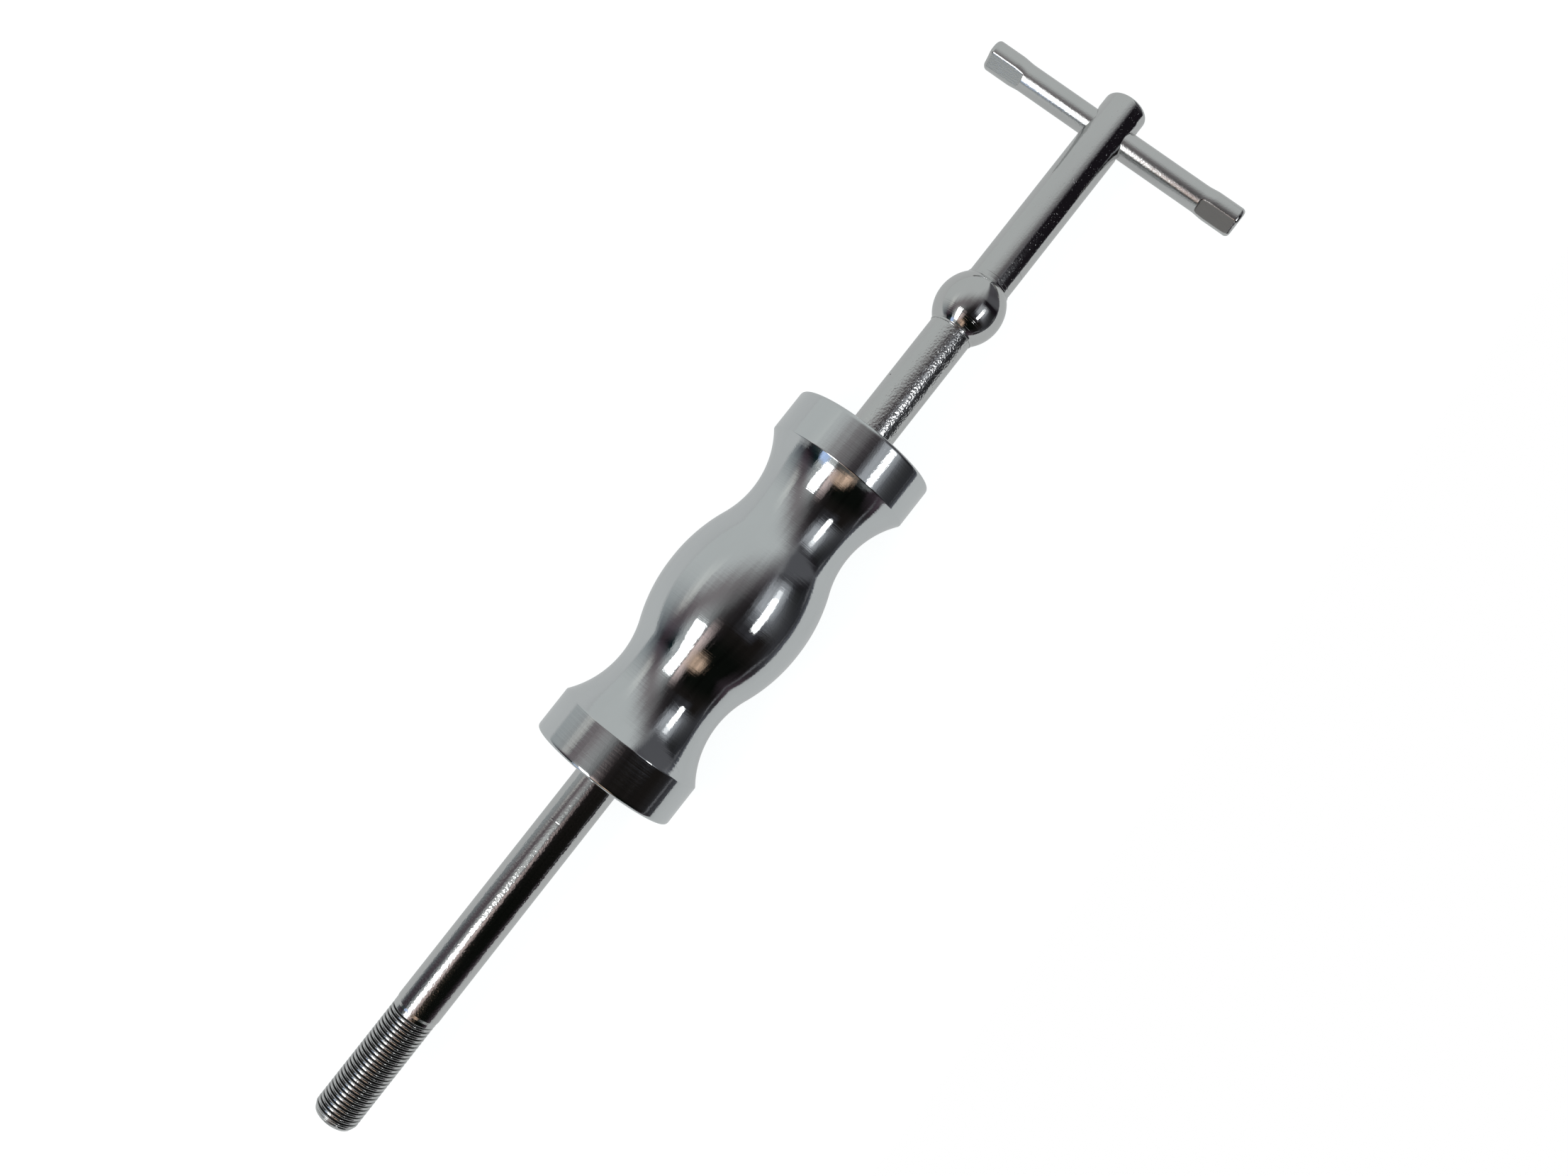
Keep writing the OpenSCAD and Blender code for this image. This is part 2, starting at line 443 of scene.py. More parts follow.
def add_hole_mouth(mesh, rows, places, side):
    """Fills the opening in the shaft's rows, on the side of +Y (0) or -Y (1), down to the cross hole's wall.
    places are the rows' x in millimetres. Returns the wall's row of vertices and their angles."""
    outward = 1 if side == 0 else -1
    middle_x = bar_x / MM
    turn = 2 * math.pi / SHAFT_SEGMENTS
    border = opening_border(rows, places, side * SHAFT_SEGMENTS // 2)
    angles = [math.atan2(SHAFT_RADIUS_MM * math.sin(step * turn), x - middle_x) for _, x, step in border]
    edges = hole_edges(angles)
    previous = [vertex for vertex, _, _ in border]
    # Over the shaft's outside, with the share of the way that is left to the countersink's edge
    for left in (0.5, 0.25, 0.12, 0.05, 0.0):
        points = []
        for (_, x, step), angle, (outer, _, _) in zip(border, angles, edges):
            edge_x = middle_x + outer * math.cos(angle)
            edge_way = SHAFT_RADIUS_MM * math.asin(outer * math.sin(angle) / SHAFT_RADIUS_MM)
            border_way = SHAFT_RADIUS_MM * step * turn
            way_round = edge_way + (border_way - edge_way) * left
            points.append(point_on_shaft(edge_x + (x - edge_x) * left, way_round, outward))
        row = mesh.row(points)
        mesh.strip(previous, row)
        previous = row
    # Down the countersink
    for share in (0.06, 0.5, 0.94, 1.0):
        points = []
        for angle, (outer, height, wall_top) in zip(angles, edges):
            reach = outer + (CROSS_HOLE_RADIUS_MM - outer) * share
            level = height + (wall_top - height) * share
            points.append((
                (middle_x + reach * math.cos(angle)) * MM,
                outward * level * MM,
                outward * reach * math.sin(angle) * MM,
            ))
        row = mesh.row(points)
        mesh.strip(previous, row)
        previous = row
    return previous, angles


def close_cross_hole(mesh, near_mouth, far_mouth):
    """The cross hole's wall between its two mouths, whose angles run opposite ways."""
    near, near_angles = near_mouth
    far, far_angles = far_mouth
    opposite = []
    for angle in near_angles:
        gaps = [abs(math.remainder(far_angle + angle, 2 * math.pi)) for far_angle in far_angles]
        opposite.append(far[gaps.index(min(gaps))])
    rows = [near]
    for share in (0.02, 0.5, 0.98):
        ends = [(Vector(mesh.points[start]), Vector(mesh.points[end])) for start, end in zip(near, opposite)]
        rows.append(mesh.row([start.lerp(end, share) for start, end in ends]))
    mesh.strips([*rows, opposite])


def make_shaft(material):
    tip = shaft_low.x / MM
    head = shaft_high.x / MM
    middle_x = bar_x / MM
    opening_low = middle_x - OPENING_HALF_MM
    opening_high = middle_x + OPENING_HALF_MM
    mesh = Mesh()
    # The thread, with its flat tip
    add_thread(mesh, tip, -THREAD_COLLAR_MM)
    tip_rows = [mesh.row(ring(tip, TIP_RADIUS_MM * share, SHAFT_SEGMENTS)) for share in (0.2, 0.6, 0.98, 1.0)]
    mesh.fan(tip_rows[0], mesh.add((tip * MM, 0, 0)))
    mesh.strips(tip_rows)
    # The collar, the shoulder and the plain stretch up to the cross hole
    outline = [
        (-THREAD_COLLAR_MM, THREAD_RADIUS_MM),
        (0.0, THREAD_RADIUS_MM),
        (SHOULDER_MM, SHAFT_RADIUS_MM),
        (opening_low, SHAFT_RADIUS_MM),
    ]
    corners = {1: COLLAR_EDGE_ROUND_MM, 2: SHOULDER_EDGE_ROUND_MM}
    plain_rows = turned(mesh, refined(rounded(outline, corners, steps=4), longest=3.0), SHAFT_SEGMENTS)
    # The stretch with the cross hole, which leaves an opening in the middle of the sides of +Y and -Y
    places = list(np.linspace(opening_low, opening_high, OPENING_ROWS))
    hole_rows = [plain_rows[-1]]
    hole_rows += [mesh.row(ring(x, SHAFT_RADIUS_MM, SHAFT_SEGMENTS)) for x in places[1:]]
    for first, second in zip(hole_rows, hole_rows[1:]):
        for i in range(SHAFT_SEGMENTS):
            if abs(math.remainder(i + 0.5, SHAFT_SEGMENTS / 2)) > OPENING_STEPS:
                j = (i + 1) % SHAFT_SEGMENTS
                mesh.faces.append((first[i], first[j], second[j], second[i]))
    mouths = [add_hole_mouth(mesh, hole_rows, places, side) for side in (0, 1)]
    close_cross_hole(mesh, *mouths)
    # The rounded end
    round_x = head - SHAFT_END_ROUND_MM
    flat_radius = SHAFT_RADIUS_MM - SHAFT_END_ROUND_MM
    end = refined([(opening_high, SHAFT_RADIUS_MM), (round_x, SHAFT_RADIUS_MM)], longest=3.0)
    end += arc(round_x, flat_radius, SHAFT_END_ROUND_MM, math.pi / 2, 0, steps=16)[1:]
    end += [(head, flat_radius * share) for share in (0.97, 0.6, 0.2)]
    end_rows = turned(mesh, end, SHAFT_SEGMENTS)
    mesh.fan(end_rows[-1], mesh.add((head * MM, 0, 0)), reverse=True)
    mesh.piece("threaded_shaft", "shaft", "shaft", "shaft_steel", material)


def smooth_step(low, high, value):
    """0 up to low and 1 from high on, with a smooth rise between them."""
    share = max(0.0, min(1.0, (value - low) / (high - low)))
    return share * share * (3 - 2 * share)


def bar_radius(angle, place, half):
    """The bar's radius in millimetres at an angle round it, at a distance from its middle. half is half its
    length. Its ends are pressed between two flat dies, so that their sides swell."""
    flat_start = half - PRESSED_LENGTH_MM
    # A flat's own direction is where facing is 1
    from_flat = angle - (math.pi / 2 + PRESSED_TURN)
    facing = abs(math.cos(from_flat))
    sideways = abs(math.sin(from_flat))
    swell = SWELL_MM * smooth_step(flat_start + SWELL_START_MM, flat_start + SWELL_END_MM, place)
    r = BAR_RADIUS_MM + swell * sideways**2
    pressed = PRESSED_THICKNESS_MM / 2 / max(facing, 0.001)
    if pressed < r:
        # The dies have rounded corners, so a flat starts later towards its sides
        corner = DIE_CORNER * max(0.0, sideways * BAR_RADIUS_MM - DIE_STRAIGHT_MM) ** 2
        start = flat_start + corner
        r += (pressed - r) * smooth_step(start + STEP_START_MM, start + STEP_END_MM, place)
    into_round = place - (half - BAR_END_ROUND_MM)
    if into_round > 0:
        r -= BAR_END_ROUND_MM - math.sqrt(max(0.0, BAR_END_ROUND_MM**2 - into_round**2))
    return r


def bar_stations(half):
    """The places of the bar's rows of vertices from its middle to its end, closer where it changes."""
    flat_start = half - PRESSED_LENGTH_MM
    stretches = [(flat_start - 2.0, 23), (flat_start + 4.0, 48), (half - 2.2, 15), (half, 22)]
    stations = [0.0]
    for stretch_end, steps in stretches:
        stations += list(np.linspace(stations[-1], stretch_end, steps + 1))[1:]
    return stations


def make_bar(material):
    low = bar_low.y / MM
    high = bar_high.y / MM
    middle = (low + high) / 2
    half = (high - low) / 2
    mesh = Mesh()

    def bar_row(place, end):
        """A row of vertices round the bar, at a distance from its middle towards +Y (1) or -Y (-1)."""
        points = []
        for i in range(BAR_SEGMENTS):
            angle = 2 * math.pi * i / BAR_SEGMENTS
            r = bar_radius(angle, place, half)
            y = middle + end * place
            points.append((bar_x + r * math.cos(angle) * MM, y * MM, r * math.sin(angle) * MM))
        return mesh.row(points)

    stations = bar_stations(half)[1:]
    low_rows = [bar_row(place, -1) for place in stations]
    high_rows = [bar_row(place, 1) for place in stations]
    mesh.strips([*reversed(low_rows), bar_row(0.0, 1), *high_rows])
    # The flat faces of the ends
    for end, rows in ((-1, low_rows), (1, high_rows)):
        centre = Vector((bar_x, (middle + end * half) * MM, 0))
        rim = [Vector(mesh.points[vertex]) for vertex in rows[-1]]
        last = rows[-1]
        for share in (0.03, 0.35, 0.75):
            inner = mesh.row([point.lerp(centre, share) for point in rim])
            mesh.strip(last, inner)
            last = inner
        mesh.fan(last, mesh.add(centre))
    mesh.piece("tommy_bar", "tee_bar", "tee_bar", "bar_steel", material)


class Nodes:
    """A short way to add shader nodes and to join them. Inputs are sockets or plain values."""

    def __init__(self, tree):
        self.tree = tree
        tree.nodes.clear()

    def add(self, kind, inputs, **settings):
        node = self.tree.nodes.new("ShaderNode" + kind)
        for name, value in settings.items():
            setattr(node, name, value)
        for key, value in inputs.items():
            if isinstance(value, bpy.types.NodeSocket):
                self.tree.links.new(value, node.inputs[key])
            else:
                node.inputs[key].default_value = value
        return node

    def math(self, operation, *values):
        return self.add("Math", dict(enumerate(values)), operation=operation).outputs[0]

    def vector(self, operation, *values, output="Vector"):
        return self.add("VectorMath", dict(enumerate(values)), operation=operation).outputs[output]

    def parts(self, vector):
        """The x, y and z of a vector."""
        return self.add("SeparateXYZ", {0: vector}).outputs

    def product(self, *values):
        result = values[0]
        for value in values[1:]:
            result = self.math("MULTIPLY", result, value)
        return result

    def total(self, *values):
        result = values[0]
        for value in values[1:]:
            result = self.math("ADD", result, value)
        return result

    def scaled(self, value, factor, offset):
        """The value times the factor, plus the offset."""
        return self.math("MULTIPLY_ADD", value, factor, offset)

    def rise(self, value, low, high):
        """0 up to low and 1 from high on, with a smooth rise between them."""
        inputs = {"Value": value, "From Min": low, "From Max": high}
        return self.add("MapRange", inputs, interpolation_type="SMOOTHSTEP").outputs[0]

    def fall(self, value, low, high):
        """1 up to low and 0 from high on, with a smooth fall between them."""
        return self.math("SUBTRACT", 1.0, self.rise(value, low, high))

    def mix(self, share, first, second):
        return self.add("Mix", {0: share, 6: first, 7: second}, data_type="RGBA").outputs[2]

    def noise(self, place, scale, detail, roughness=0.5):
        """Noise from 0 to 1. The scale has the steps per metre along each axis."""
        stretched = self.vector("MULTIPLY", place, scale)
        inputs = {"Vector": stretched, "Scale": 1.0, "Detail": detail, "Roughness": roughness}
        return self.add("TexNoise", inputs).outputs[0]

    def relief(self, place, scale, detail, roughness, height):
        """Noise turned into a height in metres about 0."""
        return self.scaled(self.noise(place, scale, detail, roughness), height, -height / 2)

    def lines(self, place, scale, low, high):
        """1 on a few thin lines, 0 elsewhere. The scale stretches them, and a higher low leaves fewer."""
        return self.rise(self.noise(place, scale, detail=1.0, roughness=0.4), low, high)

    def specks(self, place, scale, share):
        """1 on small scattered specks, 0 elsewhere. A higher share leaves fewer of them."""
        noise = self.noise(place, (scale, scale, scale), detail=1.0, roughness=0.3)
        return self.rise(noise, share, share + 0.06)


def new_material(name):
    """A material without nodes yet, and the way to add them."""
    material = bpy.data.materials.new(name)
    material.use_nodes = True
    return material, Nodes(material.node_tree)


# The plating's colours, the colour where it is worn off, and the painted shade in the thread's grooves
PLATING = (0.60, 0.605, 0.60)
WEIGHT_PLATING = (0.635, 0.655, 0.66)
BARE_STEEL = (0.30, 0.29, 0.28)
# Painted shade, near black, for the inside of the thread's grooves
PAINTED_GROOVE_SHADE = (0.04, 0.04, 0.04)
# What wear and the painted groove shade add to the roughness
WEAR_AND_SHADE_ROUGHNESS = 0.3

# Where the shaft's plating changes, from and to, in metres along the shaft from the foot of its shoulder
THREAD_FADES = (-0.002, 0.001)
HAZE_FADES = (0.02, 0.05)
SMOOTHER_FROM = (0.07, 0.11)
GRAINY_FROM = (0.2, 0.25)
GRAINY_UNTIL = (0.285, 0.305)
DEEPER_PITS_FROM = (0.29, 0.31)
RINGS_FROM = (0.305, 0.312)
RINGS_UNTIL = (0.318, 0.324)
# The thread's grooves carry painted shade inside these radii and past these places, in metres, by this share
GROOVE_SHADE_FADES = (0.0075, 0.0079)
GROOVE_SHADE_FROM = (shaft_low.x + 0.001, shaft_low.x + 0.003)
GROOVE_SHADE_DARKNESS = 0.9
# The strength of the shaft's grain, what the grainy stretch adds to it, and what the smoother one changes
GRAIN_STRENGTH = 0.4
GRAINY_CHANGE = 1.3
SMOOTHER_CHANGE = -0.2
# Heights of the shaft's pits and of its rings and nick, in metres
PIT_HEIGHT = -6e-6
DEEPER_PIT_CHANGE = -14e-6
MARK_HEIGHT = -25e-6
# What haze adds to the roughness near the thread, and how the thread itself changes that
HAZE = 0.07
THREAD_HAZE_CHANGE = -0.04
# A nick across the shaft and a dark dot beside the weight, in metres
NICK_X = 0.0778
NICK_HALF_WIDTH = 0.0004
NICK_FROM_Y = (-0.001, 0.001)
NICK_UNTIL_Y = (0.003, 0.0038)
DOT_PLACE = (0.2662, 0.0068, 0.0046)
DOT_FADES = (0.0002, 0.0004)
# The worn flat on the bar's end towards -Y: half its width and half its length, and how far from the bar's
# axis its plating starts to be worn, in metres
WORN_HALF_WIDTH = 0.0032
WORN_HALF_LENGTH = 0.0072
WORN_DEPTH = (0.00412, 0.00418)


def weight_relief(nodes, place):
    """Turning lines that come and go, a fine grain, pits and a few scratches."""
    turning = nodes.total(
        nodes.relief(place, scale=(1500, 7, 7), detail=3.0, roughness=0.6, height=24e-6),
        nodes.relief(place, scale=(900, 9, 9), detail=2.0, roughness=0.5, height=14e-6),
        nodes.relief(place, scale=(420, 5, 5), detail=2.0, roughness=0.5, height=24e-6),
    )
    where = nodes.rise(nodes.noise(place, (40, 60, 60), detail=3.0), 0.35, 0.65)
    turning = nodes.product(turning, nodes.scaled(where, 0.8, 0.4))
    grain = nodes.relief(place, scale=(1200, 2000, 2000), detail=2.0, roughness=0.6, height=12e-6)
    pits = nodes.product(nodes.specks(place, 1900, share=0.76), -4e-6)
    slanting = nodes.add("VectorRotate", {"Vector": place, "Angle": 0.9}, rotation_type="Y_AXIS").outputs[0]
    scratches = nodes.product(nodes.lines(slanting, (22, 22, 1900), 0.72, 0.77), -4e-6)
    return nodes.total(turning, grain, pits, scratches), None, None


def shaft_relief(nodes, place):
    """A patchy grain that is rougher between the weight and the ball, pits, rings beside the ball, a nick and
    a dark dot, and painted shade down the thread's grooves."""
    along, across, _ = nodes.parts(place)
    grainy = nodes.product(nodes.rise(along, *GRAINY_FROM), nodes.fall(along, *GRAINY_UNTIL), GRAINY_CHANGE)
    smoother = nodes.product(nodes.rise(along, *SMOOTHER_FROM), SMOOTHER_CHANGE)
    strength = nodes.total(GRAIN_STRENGTH, grainy, smoother)
    patchy = nodes.rise(nodes.noise(place, (300, 420, 420), detail=2.0), 0.35, 0.65)
    grain = nodes.relief(place, scale=(1300, 1500, 1500), detail=1.0, roughness=0.5, height=100e-6)
    grain = nodes.product(grain, strength, nodes.scaled(patchy, 0.5, 0.75))
    pit_height = nodes.scaled(nodes.rise(along, *DEEPER_PITS_FROM), DEEPER_PIT_CHANGE, PIT_HEIGHT)
    pits = nodes.product(nodes.specks(place, 2000, share=0.70), pit_height)
    beside_ball = nodes.product(nodes.fall(along, *RINGS_UNTIL), nodes.rise(along, *RINGS_FROM))
    rings = nodes.product(nodes.lines(place, (1500, 40, 40), 0.66, 0.72), beside_ball)
    to_nick = nodes.math("ABSOLUTE", nodes.math("SUBTRACT", along, NICK_X))
    nick = nodes.product(
        nodes.fall(to_nick, 0.0, NICK_HALF_WIDTH),
        nodes.rise(across, *NICK_FROM_Y),
        nodes.fall(across, *NICK_UNTIL_Y),
    )
    marks = nodes.product(nodes.total(rings, nick), MARK_HEIGHT)
    dot = nodes.fall(nodes.vector("DISTANCE", place, DOT_PLACE, output="Value"), *DOT_FADES)
    off_axis = nodes.vector("MULTIPLY", place, (0, 1, 1))
    radius = nodes.vector("LENGTH", off_axis, output="Value")
    # Painted shade down the thread's grooves, near black inside the given radii
    groove_shade = nodes.product(
        nodes.fall(radius, *GROOVE_SHADE_FADES),
        nodes.rise(along, *GROOVE_SHADE_FROM),
        nodes.math("LESS_THAN", along, 0.0),
        GROOVE_SHADE_DARKNESS,
    )
    # Wear at the dot and the rings, together with the painted shade in the thread's grooves
    wear_and_shade = nodes.math("MAXIMUM", nodes.math("MAXIMUM", dot, groove_shade), nodes.product(rings, 0.5))
    # The plating is hazier near the thread, and a little less so on the thread itself
    near_thread = nodes.product(nodes.fall(along, *HAZE_FADES), HAZE)
    haze = nodes.scaled(nodes.fall(along, *THREAD_FADES), THREAD_HAZE_CHANGE, near_thread)
    return nodes.total(grain, pits, marks), wear_and_shade, haze


def ball_relief(nodes, place):
    """Fine polishing lines round the ball, slight waves and pits."""
    polish = nodes.relief(place, scale=(1500, 14, 14), detail=4.0, roughness=0.6, height=14e-6)
    waves = nodes.relief(place, scale=(260, 260, 260), detail=1.0, roughness=0.5, height=16e-6)
    lines = nodes.product(nodes.lines(place, (1900, 50, 50), 0.64, 0.70), -9e-6)
    pits = nodes.product(nodes.specks(place, 1500, share=0.72), -6e-6)
    return nodes.total(polish, waves, lines, pits), None, None


def bar_relief(nodes, place):
    """A coarse grain, and a flat on the end towards -Y that is rubbed bare."""
    grain = nodes.relief(place, scale=(2600, 1200, 2600), detail=3.0, roughness=0.6, height=40e-6)
    x, y, z = nodes.parts(place)
    from_middle = nodes.math("SUBTRACT", y, (bar_low.y + bar_high.y) / 2)
    aside = nodes.math("SUBTRACT", x, bar_x)
    # The distance from the bar's axis square to the flats, and the distance across the flats
    sideways_part = nodes.product(aside, -math.sin(PRESSED_TURN))
    depth = nodes.math("ABSOLUTE", nodes.scaled(z, math.cos(PRESSED_TURN), sideways_part))
    across = nodes.scaled(z, math.sin(PRESSED_TURN), nodes.product(aside, math.cos(PRESSED_TURN)))
    worn_middle = (bar_high.y - bar_low.y) / 2 - PRESSED_LENGTH_MM * MM + WORN_HALF_LENGTH
    from_worn = nodes.math("SUBTRACT", nodes.product(from_middle, -1.0), worn_middle)
    # A rectangle with round corners
    corner_parts = []
    for distance, reach in ((across, WORN_HALF_WIDTH), (from_worn, WORN_HALF_LENGTH)):
        share = nodes.math("DIVIDE", nodes.math("ABSOLUTE", distance), reach)
        corner_parts.append(nodes.math("POWER", share, 5.0))
    inside = nodes.fall(nodes.total(*corner_parts), 0.8, 1.1)
    wear_and_shade = nodes.product(inside, nodes.rise(depth, *WORN_DEPTH))
    rub = nodes.relief(place, scale=(900, 2600, 900), detail=4.0, roughness=0.7, height=40e-6)
    return nodes.total(grain, nodes.product(rub, wear_and_shade)), wear_and_shade, None


def chrome(name, colour, roughness, relief, wear_and_shade_colour=BARE_STEEL):
    """Polished plating, whose roughness lies between the two given. relief gives its height in metres, its
    wear and painted shade, and how hazy it is, where it has them, from the nodes and the place."""
    material, nodes = new_material(name)
    place = nodes.add("TexCoord", {}).outputs["Object"]
    height, wear_and_shade, haze = relief(nodes, place)
    bump = nodes.add("Bump", {"Height": height, "Distance": 1.0, "Strength": 1.0})
    low, high = roughness
    smudges = nodes.noise(place, (90, 90, 90), detail=3.0, roughness=0.6)
    spread = nodes.scaled(smudges, high - low, low)
    tone = nodes.noise(place, (35, 140, 140), detail=3.0, roughness=0.55)
    darker = (*(0.96 * part for part in colour), 1)
    lighter = (*(1.04 * part for part in colour), 1)
    shade = nodes.mix(tone, darker, lighter)
    # Worn places take their own colour; on the shaft this also paints shade into the thread's grooves
    if wear_and_shade is not None:
        spread = nodes.total(spread, nodes.product(wear_and_shade, WEAR_AND_SHADE_ROUGHNESS))
        shade = nodes.mix(wear_and_shade, shade, (*wear_and_shade_colour, 1))
    if haze is not None:
        spread = nodes.total(spread, haze)
    shader = nodes.add("BsdfPrincipled", {
        "Base Color": shade,
        "Metallic": 1.0,
        "Roughness": spread,
        "Normal": bump.outputs[0],
    })
    nodes.add("OutputMaterial", {"Surface": shader.outputs[0]})
    return material


def make_camera():
    """The photograph's camera. Its place is worked out with the shaft along X and the photo's own up, and
    then turned about the shaft with the tee bar."""
    along = Vector((math.cos(CAMERA_TILT), 0, math.sin(CAMERA_TILT)))
    aside = Vector((0, -1, 0))
    right = math.cos(SHAFT_ANGLE_IN_PHOTO) * along + math.sin(SHAFT_ANGLE_IN_PHOTO) * aside
    up = math.sin(SHAFT_ANGLE_IN_PHOTO) * along - math.cos(SHAFT_ANGLE_IN_PHOTO) * aside
    place = Vector((shaft_low.x + CAMERA_ALONG_MM * MM, -CAMERA_ASIDE_MM * MM, CAMERA_HEIGHT_MM * MM))
    turn = Matrix.Rotation(TEE_BAR_TURN, 3, "X")
    axes = Matrix((turn @ right, turn @ up, turn @ right.cross(up))).transposed()
    data = bpy.data.cameras.new("photo_camera")
    data.sensor_width = SENSOR_WIDTH
    data.lens = FOCAL_LENGTH_PX / PHOTO_WIDTH * SENSOR_WIDTH
    data.clip_start = 0.01
    data.clip_end = 20
    camera = linked_object("photo_camera", data)
    camera.matrix_world = Matrix.Translation(turn @ place) @ axes.to_4x4()
    bpy.context.scene.camera = camera


# What stands close round the table, as polished metal shows it: soft patches on a dome. Roll is the angle
# about the shaft from straight up towards -Y, and slant the angle towards the tee bar, in degrees. Each patch
# has its colour, the middle and the reach of its roll, the same of its slant, the softness of its edges at
# low and high roll and at low and high slant, and how far it leans. Later patches cover earlier ones.
STUDIO = [
    # (name, colour, roll, reach, slant, reach, softness, lean)
    ("far side", (0.064, 0.047, 0.059), 62, 61, 5, 53, (47, 12, 4, 69), 0.38),
    ("dark left", (0.004, 0.005, 0.004), 56, 44, -18, 57, (33, 39, 66, 26), 0.85),
    ("dark right", (0.013, 0.011, 0.010), 50, 57, 0, 20, (69, 5, 19, 59), -0.10),
    ("table edge", (0.167, 0.174, 0.204), 113, 8, 23, 36, (68, 11, 24, 53), 0.03),
    ("edge line", (0.16, 0.16, 0.17), 94, 0.8, -6, 54, (0.8, 0.8, 12, 40), 0),
    ("cupboard", (0.0, 0.030, 0.056), -60, 25, -30, 8, (15, 23, 9, 62), -0.23),
    ("window frame", (0.03, 0.03, 0.035), -6, 26, -66, 5, (8, 8, 4, 4), 0),
    ("cupboard core", (0.004, 0.021, 0.023), -57, 19, -49, 15, (13, 7, 41, 12), -0.07),
    ("sky", (0.584, 0.756, 1.118), -38, 11, -54, 8, (5, 14, 5, 8), 0.8),
    ("under window", (0.84, 0.68, 0.65), 1, 5, -36, 15, (8, 22, 10, 24), 0.11),
    ("wood", (0.76, 0.54, 0.40), 22, 13, -47, 8, (45, 19, 4, 11), -0.62),
    ("glow above", (1.25, 1.27, 1.20), -52, 2, -7, 14, (25, 10, 15, 38), 0.25),
    ("ceiling", (0.051, 0.0, 0.012), -37, 11, -12, 29, (60, 42, 40, 69), 1.02),
    ("ceiling shade", (0.048, 0.048, 0.056), 56, 12, 25, 36, (68, 14, 4, 69), 0.32),
    ("lamp haze", (0.33, 0.34, 0.37), 48, 16, 12, 12, (27, 60, 12, 30), -0.21),
    ("lamp glow", (0.53, 0.55, 0.58), 46, 14, 18, 12, (24, 14, 8, 20), 0),
]
DOME_RADIUS = 0.66
PALE_WALL = (0.597, 0.620, 0.618)
PLAIN_LIGHT = (0.6, 0.6, 0.6)
# The dome's gaps, and what shows through them from farther away. The second one is for the window.
GAPS = [(64, 34.5, 46, 14.5, (22, 3, 10, 14), 0), (-16.5, 8.5, -38, 20, (2, 2, 3, 3), 0)]
FAR_STUDIO = [
    ("far shelf", (0.11, 0.11, 0.12), 65, 36, 50, 40, (24, 3, 10, 10), 0),
    ("far shelf side", (0.012, 0.010, 0.013), 64, 34.5, 12, 22, (20, 3, 10, 8), 0),
]
# Uneven streaks in the dome's patches: their steps per degree of roll and of slant, how far they push the
# patches about in degrees of roll, and how much they change the brightness
STREAKS_PER_ROLL = 0.11
STREAKS_PER_SLANT = 0.012
STREAK_PUSH = 26.0
STREAK_CONTRAST = 1.6

# Lamps: (name, place in metres, length along the shaft, width, brightness)
LAMPS = [
    ("lamp", (0.245, -0.436, 0.377), 0.224, 0.086, 6.5),
    ("lamp_end", (0.401, -0.436, 0.377), 0.088, 0.086, 0.65),
    ("window", (-1.1275, 0.415, 1.39), 1.505, 0.46, 4.5),
]

# The sheet under the tool: how far it reaches, and where its edge towards -Y is, in metres
SHEET_REACH = 3
SHEET_EDGE_Y = -0.155
SHEET_COLOUR = (0.28, 0.29, 0.29)
SHEET_GLOW_COLOUR = (1.0, 1.015, 1.02)
# How brightly it glows to the camera, through glass and in polished metal, and how much of the last it loses
# towards -Y and towards the thread
GLOW_TO_CAMERA = 0.84
GLOW_THROUGH_GLASS = 0.80
GLOW_IN_METAL = 0.375
GLOW_LOST = 0.30
GLOW_FADES_Y = (-0.22, -0.05)
GLOW_FADES_X = (-0.15, 0.30)


def share_of_patch(nodes, roll, slant, row):
    """1 inside a patch of the studio and 0 outside it, with soft edges."""
    roll_middle, roll_reach, slant_middle, slant_reach, softness, lean = row
    along = nodes.math("SUBTRACT", slant, slant_middle)
    around = nodes.math("SUBTRACT", nodes.scaled(along, -lean, roll), roll_middle)
    edges = []
    for value, reach, (low_soft, high_soft) in (
        (around, roll_reach, softness[:2]),
        (along, slant_reach, softness[2:]),
    ):
        edges.append(nodes.rise(value, -reach - low_soft / 2, -reach + low_soft / 2))
        edges.append(nodes.fall(value, reach - high_soft / 2, reach + high_soft / 2))
    return nodes.product(*edges)


def roll_and_slant(nodes, direction):
    """The roll about the shaft and the slant towards the tee bar of a direction, in degrees."""
    x, y, z = nodes.parts(nodes.vector("NORMALIZE", direction))
    roll = nodes.product(nodes.math("ARCTAN2", nodes.product(y, -1.0), z), math.degrees(1))
    slant = nodes.product(nodes.math("ARCSINE", x), math.degrees(1))
    return roll, slant


def make_world():
    """White where the camera looks past the sheet, and plain light. Polished metal shows a pale wall."""
    world = bpy.data.worlds.new("studio")
    bpy.context.scene.world = world
    world.use_nodes = True
    nodes = Nodes(world.node_tree)
    path = nodes.add("LightPath", {}).outputs
    plain = nodes.mix(path["Is Diffuse Ray"], (1, 1, 1, 1), (*PLAIN_LIGHT, 1))
    wall = (*PALE_WALL, 1)
    roll, slant = roll_and_slant(nodes, nodes.add("TexCoord", {}).outputs["Generated"])
    for _, colour, *row in FAR_STUDIO:
        wall = nodes.mix(share_of_patch(nodes, roll, slant, row), wall, (*colour, 1))
    seen = nodes.mix(path["Is Glossy Ray"], plain, wall)
    background = nodes.add("Background", {"Color": seen, "Strength": 1.0})
    nodes.add("OutputWorld", {"Surface": background.outputs[0]})
    world.cycles.sampling_method = "NONE"


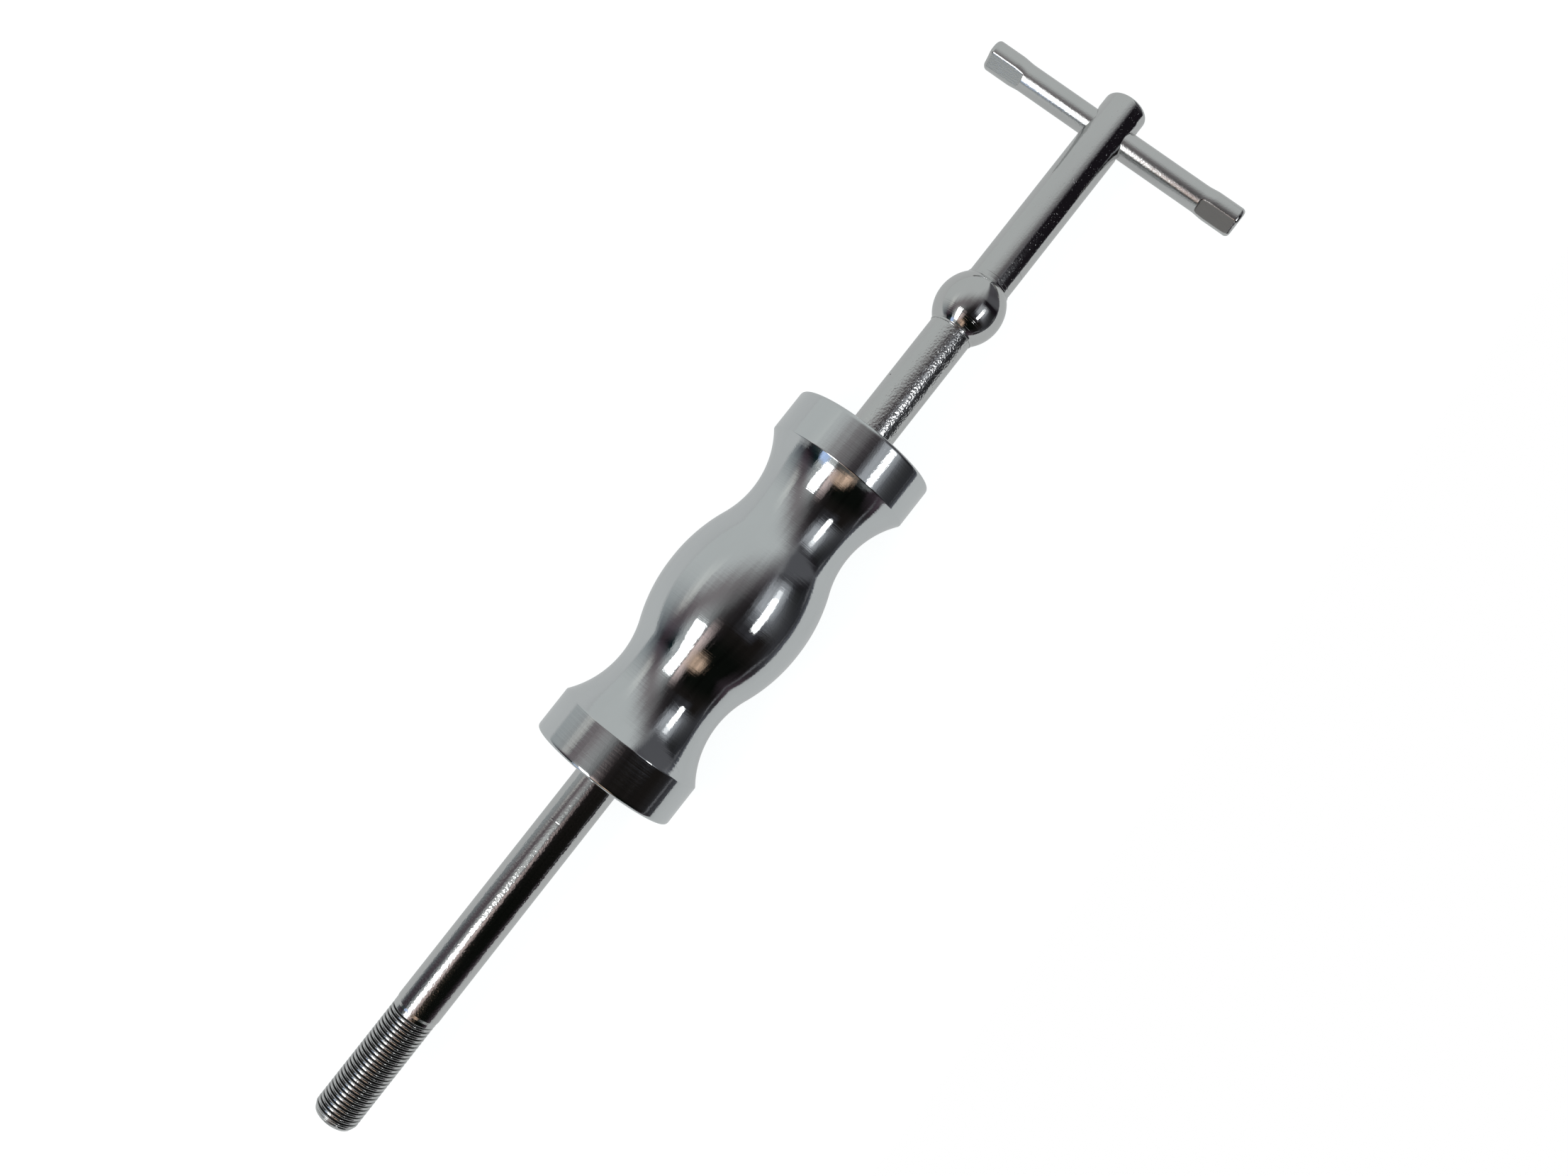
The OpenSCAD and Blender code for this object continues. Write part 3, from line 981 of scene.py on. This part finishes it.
def make_dome():
    """A dome round the tool with the studio's patches on it, which only reflections show."""
    mesh = bpy.data.meshes.new("dome")
    work = bmesh.new()
    bmesh.ops.create_uvsphere(work, u_segments=64, v_segments=32, radius=DOME_RADIUS)
    work.to_mesh(mesh)
    work.free()
    dome = linked_object("dome", mesh)
    dome.location = ((weight_low.x + weight_high.x) / 2, 0, 0)
    dome.visible_camera = False
    dome.visible_diffuse = False
    dome.visible_transmission = False
    dome.visible_shadow = False
    material, nodes = new_material("studio_patches")
    roll, slant = roll_and_slant(nodes, nodes.add("TexCoord", {}).outputs["Object"])
    spot = nodes.add("CombineXYZ", {
        0: nodes.product(roll, STREAKS_PER_ROLL),
        1: nodes.product(slant, STREAKS_PER_SLANT),
    })
    streaks = nodes.noise(spot.outputs[0], (1, 1, 1), detail=3.0, roughness=0.6)
    pushed_roll = nodes.total(roll, nodes.scaled(streaks, STREAK_PUSH, -STREAK_PUSH / 2))
    strength = nodes.scaled(streaks, STREAK_CONTRAST, 1 - STREAK_CONTRAST / 2)
    clear = nodes.add("BsdfTransparent", {}).outputs[0]
    surface = clear
    for _, colour, *row in STUDIO:
        share = share_of_patch(nodes, pushed_roll, slant, row)
        patch = nodes.add("Emission", {"Color": (*colour, 1), "Strength": strength}).outputs[0]
        surface = nodes.add("MixShader", {0: share, 1: surface, 2: patch}).outputs[0]
    for row in GAPS:
        share = share_of_patch(nodes, roll, slant, row)
        surface = nodes.add("MixShader", {0: share, 1: surface, 2: clear}).outputs[0]
    nodes.add("OutputMaterial", {"Surface": surface})
    mesh.materials.append(material)


def make_lamp(name, place, length, width, brightness):
    """A soft rectangular lamp that faces the shaft, with its length along it."""
    data = bpy.data.lights.new(name, "AREA")
    data.shape = "RECTANGLE"
    data.size = length
    data.size_y = width
    data.energy = brightness * length * width * math.pi
    lamp = linked_object(name, data)
    lamp.location = place
    target = Vector((place[0], 0, 0))
    lamp.rotation_euler = (Vector(place) - target).to_track_quat("Z", "Y").to_euler()
    lamp.visible_camera = False


def make_sheet():
    """A white sheet under the tool. It glows enough to look white to the camera, and keeps the shadow."""
    mesh = bpy.data.meshes.new("floor")
    height = cad_low.z
    corners = [
        (-SHEET_REACH, SHEET_EDGE_Y, height),
        (SHEET_REACH, SHEET_EDGE_Y, height),
        (SHEET_REACH, SHEET_REACH, height),
        (-SHEET_REACH, SHEET_REACH, height),
    ]
    mesh.from_pydata(corners, [], [(0, 1, 2, 3)])
    floor = linked_object("floor", mesh)
    material, nodes = new_material("white_sheet")
    path = nodes.add("LightPath", {}).outputs
    x, y, _ = nodes.parts(nodes.add("TexCoord", {}).outputs["Object"])
    lost = nodes.product(nodes.fall(y, *GLOW_FADES_Y), nodes.fall(x, *GLOW_FADES_X))
    in_metal = nodes.product(path["Is Glossy Ray"], nodes.scaled(lost, -GLOW_LOST, GLOW_IN_METAL))
    glow = nodes.scaled(path["Is Camera Ray"], GLOW_TO_CAMERA, in_metal)
    glow = nodes.scaled(path["Is Transmission Ray"], GLOW_THROUGH_GLASS, glow)
    paper = nodes.add("BsdfDiffuse", {"Color": (*SHEET_COLOUR, 1)})
    light = nodes.add("Emission", {"Color": (*SHEET_GLOW_COLOUR, 1), "Strength": glow})
    both = nodes.add("AddShader", {0: paper.outputs[0], 1: light.outputs[0]})
    # The sheet is clear from below, so that it doesn't hide the tool's underside there
    from_below = nodes.add("NewGeometry", {}).outputs["Backfacing"]
    clear = nodes.add("BsdfTransparent", {})
    sheet = nodes.add("MixShader", {0: from_below, 1: both.outputs[0], 2: clear.outputs[0]})
    nodes.add("OutputMaterial", {"Surface": sheet.outputs[0]})
    mesh.materials.append(material)


make_camera()
# The shaft's dark colour is painted shade in the thread's grooves, and also marks its dot and rings
make_shaft(chrome("shaft_chrome", PLATING, (0.04, 0.08), shaft_relief, wear_and_shade_colour=PAINTED_GROOVE_SHADE))
make_weight(chrome("weight_chrome", WEIGHT_PLATING, (0.03, 0.07), weight_relief))
make_ball(chrome("ball_chrome", PLATING, (0.02, 0.05), ball_relief))
make_bar(chrome("bar_chrome", PLATING, (0.07, 0.14), bar_relief))
make_world()
make_dome()
for lamp_row in LAMPS:
    make_lamp(*lamp_row)
make_sheet()
bpy.context.scene.view_settings.view_transform = "Standard"
